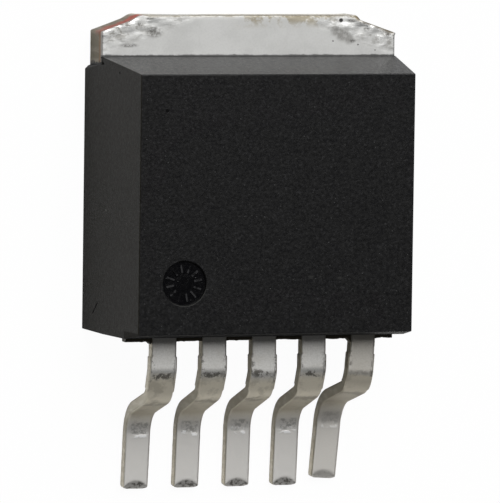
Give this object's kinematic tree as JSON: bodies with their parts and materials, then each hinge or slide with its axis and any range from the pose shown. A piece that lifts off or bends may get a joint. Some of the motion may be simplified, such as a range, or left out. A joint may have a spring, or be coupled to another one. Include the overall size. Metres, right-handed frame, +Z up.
{
  "type": "surface-mount voltage regulator",
  "caption": "Flat black moulded power package with a thick tinned heat tab at one end and gull-wing leads at the other, for surface mounting.",
  "frame": {"origin": "on the solder plane, under the middle of the outline", "axes": "+Z up out of the marked face, +Y from the leads to the heat tab, +X from lead 1 to lead 5"},
  "size_m": [0.0104, 0.0156, 0.0044],
  "materials": {
    "moulding": "matt black filled epoxy moulding",
    "tinned_copper": "copper with matt tin plating",
    "silicon": "polished silicon",
    "solder": "dull solder",
    "bond_wire": "drawn aluminium wire"
  },
  "bodies": {
    "root": {"moulded_body": "moulding", "tab_and_lead_3": "tinned_copper", "lead_1": "tinned_copper", "lead_2": "tinned_copper", "lead_4": "tinned_copper", "lead_5": "tinned_copper", "silicon_die": "silicon", "die_solder": "solder", "bond_wire_1a": "bond_wire", "bond_wire_1b": "bond_wire", "bond_wire_2a": "bond_wire", "bond_wire_2b": "bond_wire", "bond_wire_3": "bond_wire", "bond_wire_4": "bond_wire", "bond_wire_5": "bond_wire"}
  },
  "joints": []
}
